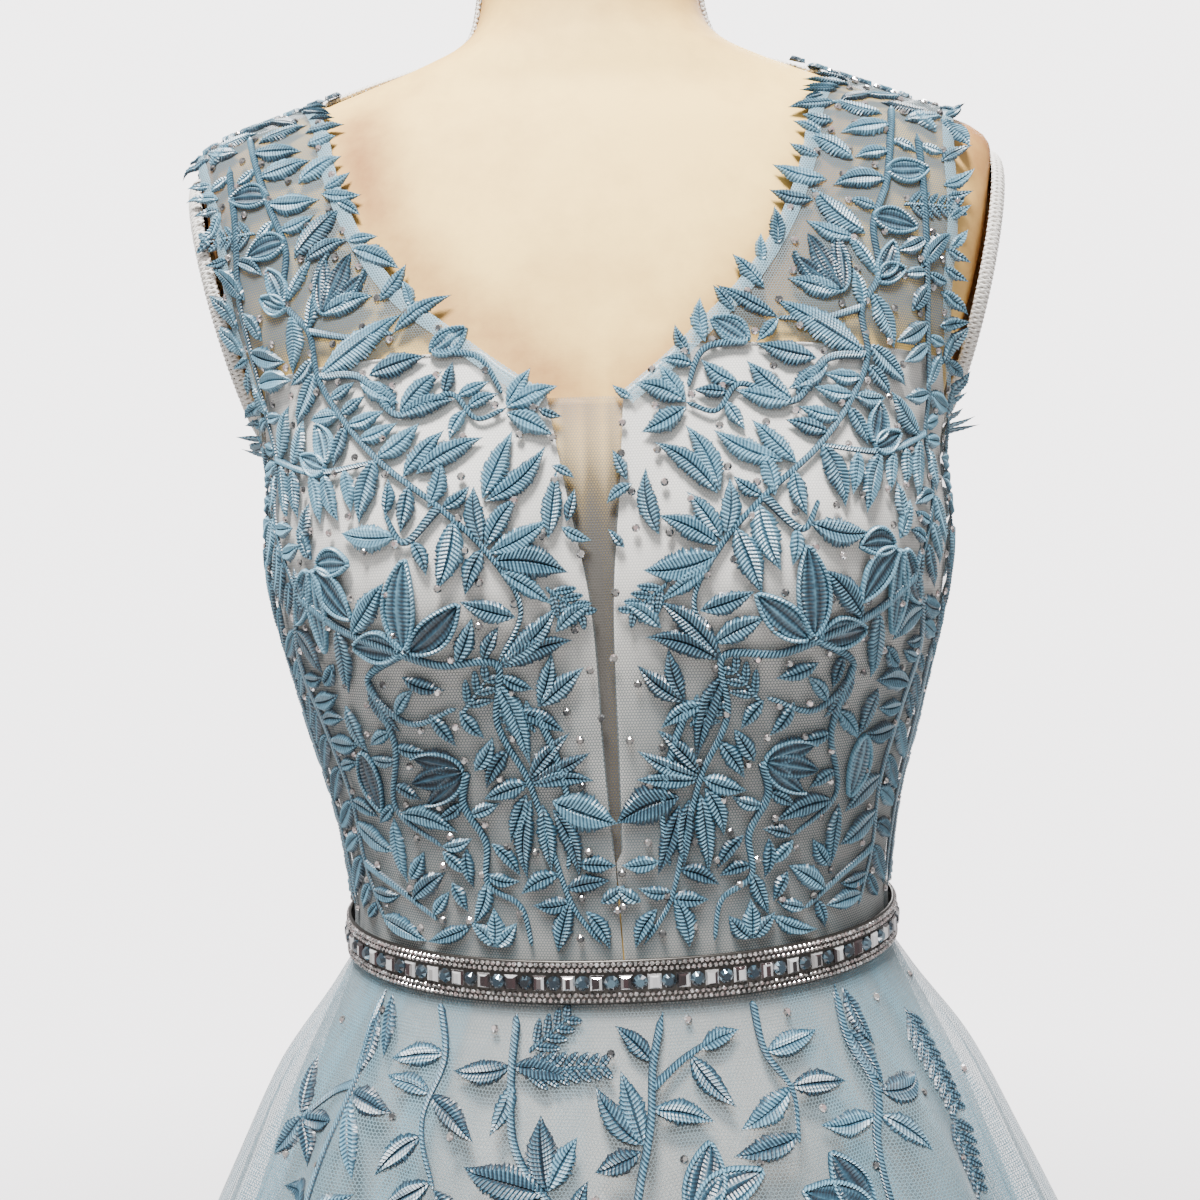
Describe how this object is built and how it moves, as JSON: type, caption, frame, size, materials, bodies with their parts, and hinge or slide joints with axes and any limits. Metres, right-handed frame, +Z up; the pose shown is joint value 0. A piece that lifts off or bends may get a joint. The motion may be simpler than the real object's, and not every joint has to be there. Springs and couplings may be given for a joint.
{
  "type": "prom dress on a limbless dress form",
  "caption": "A-line prom dress with a plunging embroidered net bodice, stone belt and layered tulle skirt, worn by a limbless dress form on a round base.",
  "frame": {"origin": "on the floor under the middle of the skirt's hem, which is also the middle of the stand's base", "axes": "+Z up, -Y towards the front of the dress, +X towards the right side as seen from the front"},
  "size_m": [1.0354, 1, 1.525],
  "materials": {
    "form_canvas": "smooth cream canvas",
    "form_trim": "off-white braid and covered board",
    "stand_metal": "satin off-white paint",
    "blue_embroidered_net": "dusty blue net with satin-stitched leaves",
    "ivory_satin": "soft ivory satin",
    "taupe_mesh": "sheer taupe mesh",
    "belt_rhinestones": "faceted stones in silver settings",
    "blue_embroidered_tulle": "dusty blue tulle",
    "pale_blue_tulle": "pale blue tulle",
    "zip_tape": "woven tape",
    "zip_metal": "polished"
  },
  "bodies": {
    "root": {"form_torso": "form_canvas", "neck_cap": "form_trim", "arm_plate_left": "form_trim", "arm_plate_right": "form_trim", "stand_pole": "stand_metal", "stand_base": "stand_metal", "bodice_net_front_left": "blue_embroidered_net", "bodice_net_front_right": "blue_embroidered_net", "bodice_net_back_left": "blue_embroidered_net", "bodice_net_back_right": "blue_embroidered_net", "bodice_lining_front_left": "ivory_satin", "bodice_lining_front_right": "ivory_satin", "bodice_lining_back_left": "ivory_satin", "bodice_lining_back_right": "ivory_satin", "sheer_insert": "taupe_mesh", "stone_belt": "belt_rhinestones", "skirt_overlay_front": "blue_embroidered_tulle", "skirt_overlay_back": "blue_embroidered_tulle", "skirt_tulle": "pale_blue_tulle", "skirt_slip": "ivory_satin", "back_zip_tape": "zip_tape", "back_zip_slider": "zip_metal"}
  },
  "joints": []
}
